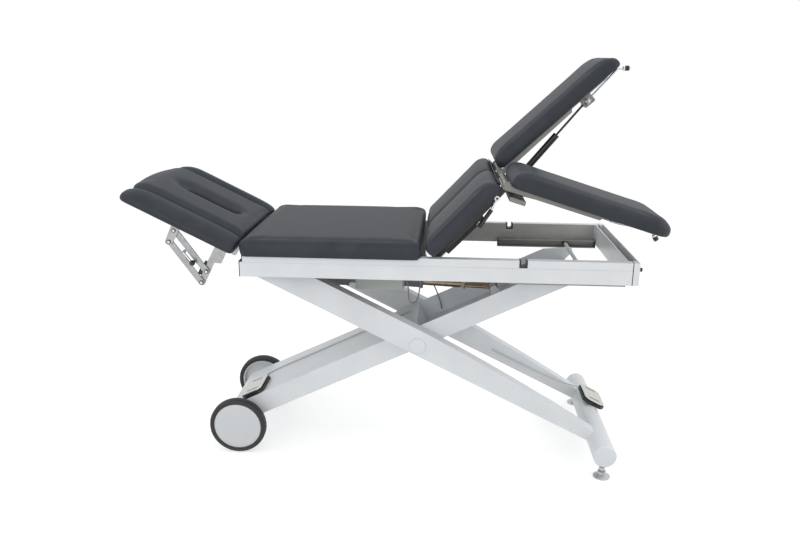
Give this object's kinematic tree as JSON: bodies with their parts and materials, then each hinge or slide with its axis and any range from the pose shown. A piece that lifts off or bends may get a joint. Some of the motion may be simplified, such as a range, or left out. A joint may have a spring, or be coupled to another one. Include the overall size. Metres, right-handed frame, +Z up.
{
  "type": "treatment table",
  "caption": "electric treatment table: padded couch sections with split leg rests and drop armrests on a wheeled scissor lift",
  "frame": {"origin": "on the floor below the middle of the bounding box", "axes": "+X from the head end to the foot end, +Y away from the viewer of the picture, +Z up"},
  "size_m": [1.8499, 0.66, 1.4552],
  "materials": {
    "white_steel": "satin",
    "vinyl": "satin",
    "tyre_rubber": "matte",
    "grey_plastic": "satin",
    "lead_rubber": "matte",
    "black_plastic": "satin",
    "bright_steel": "satin",
    "spring_paint": "satin",
    "box_plastic": "matte",
    "gold_zinc": "satin",
    "drive_grey": "satin",
    "grey_steel": "satin"
  },
  "bodies": {
    "feet": {"foot_discs": "black_plastic"},
    "outer_scissor": {"foot_stems": "bright_steel", "foot_bar": "white_steel", "outer_arm_near": "white_steel", "outer_arm_far": "white_steel", "outer_cross_tube": "white_steel", "centre_pivot": "white_steel", "foot_pedal_base": "black_plastic", "outer_lead": "lead_rubber"},
    "foot_pedal": {"foot_pedal_plate": "bright_steel"},
    "inner_scissor": {"inner_frame": "white_steel", "wheel_axle": "bright_steel", "head_pedal_base": "black_plastic", "inner_lead": "lead_rubber"},
    "head_pedal": {"head_pedal_plate": "bright_steel"},
    "guide_rollers": {"guide_rollers": "black_plastic"},
    "wheel_near": {"tyre_near": "tyre_rubber", "disc_near": "grey_plastic"},
    "wheel_far": {"tyre_far": "tyre_rubber", "disc_far": "grey_plastic"},
    "table": {"rail_near": "white_steel", "rail_far": "white_steel", "rail_caps": "black_plastic", "guide_rails": "white_steel", "foot_end_beam": "white_steel", "head_end_frame": "white_steel", "seat_cross_tube": "white_steel", "seat_cushion": "vinyl", "control_box": "box_plastic", "control_leads": "lead_rubber"},
    "actuator_body": {"actuator_body": "drive_grey"},
    "actuator_rod": {"actuator_rod": "gold_zinc"},
    "head": {"head_frame": "grey_steel", "head_cushion": "vinyl"},
    "thigh": {"thigh_frame": "white_steel", "thigh_cushion": "vinyl"},
    "thigh_spring_tube": {"thigh_spring_tube": "spring_paint"},
    "thigh_spring_rod": {"thigh_spring_rod": "bright_steel"},
    "thigh_lever": {"thigh_lever": "black_plastic"},
    "leg_carrier": {"leg_carrier": "white_steel"},
    "upper_link_near": {"arm_upper_link_near": "grey_steel"},
    "lower_link_near": {"arm_lower_link_near": "grey_steel"},
    "armrest_near": {"armrest_bracket_near": "grey_steel", "armrest_cushion_near": "vinyl"},
    "lock_lever_near": {"lock_lever_near": "bright_steel"},
    "leg_near": {"leg_frame_near": "white_steel", "leg_cushion_near": "vinyl"},
    "leg_lever_near": {"leg_lever_near": "bright_steel"},
    "leg_spring_tube_near": {"leg_spring_tube_near": "spring_paint"},
    "leg_spring_rod_near": {"leg_spring_rod_near": "bright_steel"},
    "upper_link_far": {"arm_upper_link_far": "grey_steel"},
    "lower_link_far": {"arm_lower_link_far": "grey_steel"},
    "armrest_far": {"armrest_bracket_far": "grey_steel", "armrest_cushion_far": "vinyl"},
    "lock_lever_far": {"lock_lever_far": "bright_steel"},
    "leg_far": {"leg_frame_far": "white_steel", "leg_cushion_far": "vinyl"},
    "leg_lever_far": {"leg_lever_far": "bright_steel"},
    "leg_spring_tube_far": {"leg_spring_tube_far": "spring_paint"},
    "leg_spring_rod_far": {"leg_spring_rod_far": "bright_steel"}
  },
  "joints": [
    {"name": "lift", "type": "hinge", "parent": "feet", "child": "outer_scissor", "pos_m": [0.752, 0, 0.018], "axis": [0, 1, 0], "range_deg": [-14.5, 5], "deforming": ["control_leads"]},
    {"name": "scissor", "type": "hinge", "parent": "outer_scissor", "child": "inner_scissor", "pos_m": [0.082, 0, 0.442], "axis": [0, 1, 0], "range_deg": [-10, 29]},
    {"name": "table_level", "type": "hinge", "parent": "outer_scissor", "child": "table", "pos_m": [-0.496, 0, 0.722], "axis": [0, 1, 0], "range_deg": [-5, 14.5]},
    {"name": "wheel_near_roll", "type": "hinge", "parent": "inner_scissor", "child": "wheel_near", "pos_m": [-0.589, -0.193, 0.106], "axis": [0, 1, 0], "continuous": true},
    {"name": "wheel_far_roll", "type": "hinge", "parent": "inner_scissor", "child": "wheel_far", "pos_m": [-0.589, 0.193, 0.106], "axis": [0, 1, 0], "continuous": true},
    {"name": "guide_roll", "type": "hinge", "parent": "inner_scissor", "child": "guide_rollers", "pos_m": [0.66, 0, 0.722], "axis": [0, 1, 0], "continuous": true},
    {"name": "foot_pedal_rock", "type": "hinge", "parent": "outer_scissor", "child": "foot_pedal", "pos_m": [0.77602, 0.078, 0.13757], "axis": [0, 1, 0], "range_deg": [-4, 4], "stiffness_Nm_per_rad": 12},
    {"name": "head_pedal_rock", "type": "hinge", "parent": "inner_scissor", "child": "head_pedal", "pos_m": [-0.55041, -0.078, 0.20645], "axis": [0, 1, 0], "range_deg": [-4, 4], "stiffness_Nm_per_rad": 12},
    {"name": "drive_swing", "type": "hinge", "parent": "outer_scissor", "child": "actuator_body", "pos_m": [-0.336, 0, 0.645], "axis": [0, -1, 0], "range_deg": [-11.43, 3.94]},
    {"name": "drive_stroke", "type": "slide", "parent": "actuator_body", "child": "actuator_rod", "axis": [0.9989, 0, -0.0461], "range_m": [-0.02703, 0.07836]},
    {"name": "head_tilt", "type": "hinge", "parent": "table", "child": "head", "pos_m": [-0.552, 0, 0.786], "axis": [0, 1, 0], "range_deg": [-50, 10]},
    {"name": "armrest_drop_near", "type": "hinge", "parent": "head", "child": "upper_link_near", "pos_m": [-0.6714, -0.2165, 0.70711], "axis": [0, -1, 0], "range_deg": [0, 60]},
    {"name": "lower_link_swing_near", "type": "hinge", "parent": "head", "child": "lower_link_near", "pos_m": [-0.69162, -0.2165, 0.66602], "axis": [0, -1, 0], "range_deg": [0, 60]},
    {"name": "armrest_level_near", "type": "hinge", "parent": "upper_link_near", "child": "armrest_near", "pos_m": [-0.77677, -0.2165, 0.85536], "axis": [0, -1, 0], "range_deg": [-60, 0]},
    {"name": "lock_turn_near", "type": "hinge", "parent": "lower_link_near", "child": "lock_lever_near", "pos_m": [-0.74583, -0.2165, 0.7794], "axis": [0, -1, 0], "range_deg": [-20, 0]},
    {"name": "armrest_drop_far", "type": "hinge", "parent": "head", "child": "upper_link_far", "pos_m": [-0.6714, 0.2165, 0.70711], "axis": [0, -1, 0], "range_deg": [0, 60]},
    {"name": "lower_link_swing_far", "type": "hinge", "parent": "head", "child": "lower_link_far", "pos_m": [-0.69162, 0.2165, 0.66602], "axis": [0, -1, 0], "range_deg": [0, 60]},
    {"name": "armrest_level_far", "type": "hinge", "parent": "upper_link_far", "child": "armrest_far", "pos_m": [-0.77677, 0.2165, 0.85536], "axis": [0, -1, 0], "range_deg": [-60, 0]},
    {"name": "lock_turn_far", "type": "hinge", "parent": "lower_link_far", "child": "lock_lever_far", "pos_m": [-0.74583, 0.2165, 0.7794], "axis": [0, -1, 0], "range_deg": [-20, 0]},
    {"name": "thigh_tilt", "type": "hinge", "parent": "table", "child": "thigh", "pos_m": [0.138, 0, 0.784], "axis": [0, -1, 0], "range_deg": [-27, 3]},
    {"name": "thigh_lever_pull", "type": "hinge", "parent": "thigh", "child": "thigh_lever", "pos_m": [0.34034, -0.2691, 0.9973], "axis": [0, -1, 0], "range_deg": [-6, 10]},
    {"name": "thigh_spring_swing", "type": "hinge", "parent": "thigh", "child": "thigh_spring_tube", "pos_m": [0.29632, -0.1, 0.89538], "axis": [0, -1, 0], "range_deg": [-0.89, 7.99]},
    {"name": "thigh_spring_stroke", "type": "slide", "parent": "thigh_spring_tube", "child": "thigh_spring_rod", "axis": [-0.6923, 0, -0.7216], "range_m": [-0.02271, 0.00253]},
    {"name": "carrier_level", "type": "hinge", "parent": "thigh", "child": "leg_carrier", "pos_m": [0.36752, 0, 1.03952], "axis": [0, -1, 0], "range_deg": [-3.9, 35.1]},
    {"name": "leg_near", "type": "hinge", "parent": "leg_carrier", "child": "leg_near", "pos_m": [0.36752, -0.15, 1.03952], "axis": [0, -1, 0], "range_deg": [0, 60.4]},
    {"name": "leg_spring_swing_near", "type": "hinge", "parent": "leg_carrier", "child": "leg_spring_tube_near", "pos_m": [0.41211, -0.05, 0.98782], "axis": [0, -1, 0], "range_deg": [0, 65.4]},
    {"name": "leg_spring_stroke_near", "type": "slide", "parent": "leg_spring_tube_near", "child": "leg_spring_rod_near", "axis": [0.9717, 0, -0.2361], "range_m": [-0.00001, 0.06089]},
    {"name": "leg_lever_pull_near", "type": "hinge", "parent": "leg_near", "child": "leg_lever_near", "pos_m": [0.7535, -0.05, 0.89341], "axis": [0, 1, 0], "range_deg": [-2, 10]},
    {"name": "leg_far", "type": "hinge", "parent": "leg_carrier", "child": "leg_far", "pos_m": [0.36752, 0.15, 1.03952], "axis": [0, 1, 0], "range_deg": [0, 60.4]},
    {"name": "leg_spring_swing_far", "type": "hinge", "parent": "leg_carrier", "child": "leg_spring_tube_far", "pos_m": [0.41211, 0.05, 0.98782], "axis": [0, 1, 0], "range_deg": [0, 63.26]},
    {"name": "leg_spring_stroke_far", "type": "slide", "parent": "leg_spring_tube_far", "child": "leg_spring_rod_far", "axis": [0.6323, 0, 0.7748], "range_m": [-0.06458, 0.00001]},
    {"name": "leg_lever_pull_far", "type": "hinge", "parent": "leg_far", "child": "leg_lever_far", "pos_m": [0.68521, 0.05, 1.30295], "axis": [0, 1, 0], "range_deg": [-2, 10]}
  ],
  "couplings": [
    {"joint": "scissor", "follows": "lift", "ratio": -2},
    {"joint": "table_level", "follows": "lift", "ratio": -1},
    {"joint": "drive_swing", "follows": "lift", "ratio": 0.788},
    {"joint": "drive_stroke", "follows": "lift", "m_per_rad": -0.3096},
    {"joint": "lower_link_swing_near", "follows": "armrest_drop_near", "ratio": 1},
    {"joint": "armrest_level_near", "follows": "armrest_drop_near", "ratio": -1},
    {"joint": "lower_link_swing_far", "follows": "armrest_drop_far", "ratio": 1},
    {"joint": "armrest_level_far", "follows": "armrest_drop_far", "ratio": -1},
    {"joint": "thigh_spring_swing", "follows": "thigh_tilt", "ratio": -0.29599},
    {"joint": "thigh_spring_stroke", "follows": "thigh_tilt", "m_per_rad": 0.048169},
    {"joint": "carrier_level", "follows": "thigh_tilt", "ratio": -1.3},
    {"joint": "leg_spring_swing_near", "follows": "leg_near", "ratio": 1.0828},
    {"joint": "leg_spring_stroke_near", "follows": "leg_near", "m_per_rad": 0.057752},
    {"joint": "leg_spring_swing_far", "follows": "leg_far", "ratio": 1.0473},
    {"joint": "leg_spring_stroke_far", "follows": "leg_far", "m_per_rad": -0.061252}
  ]
}
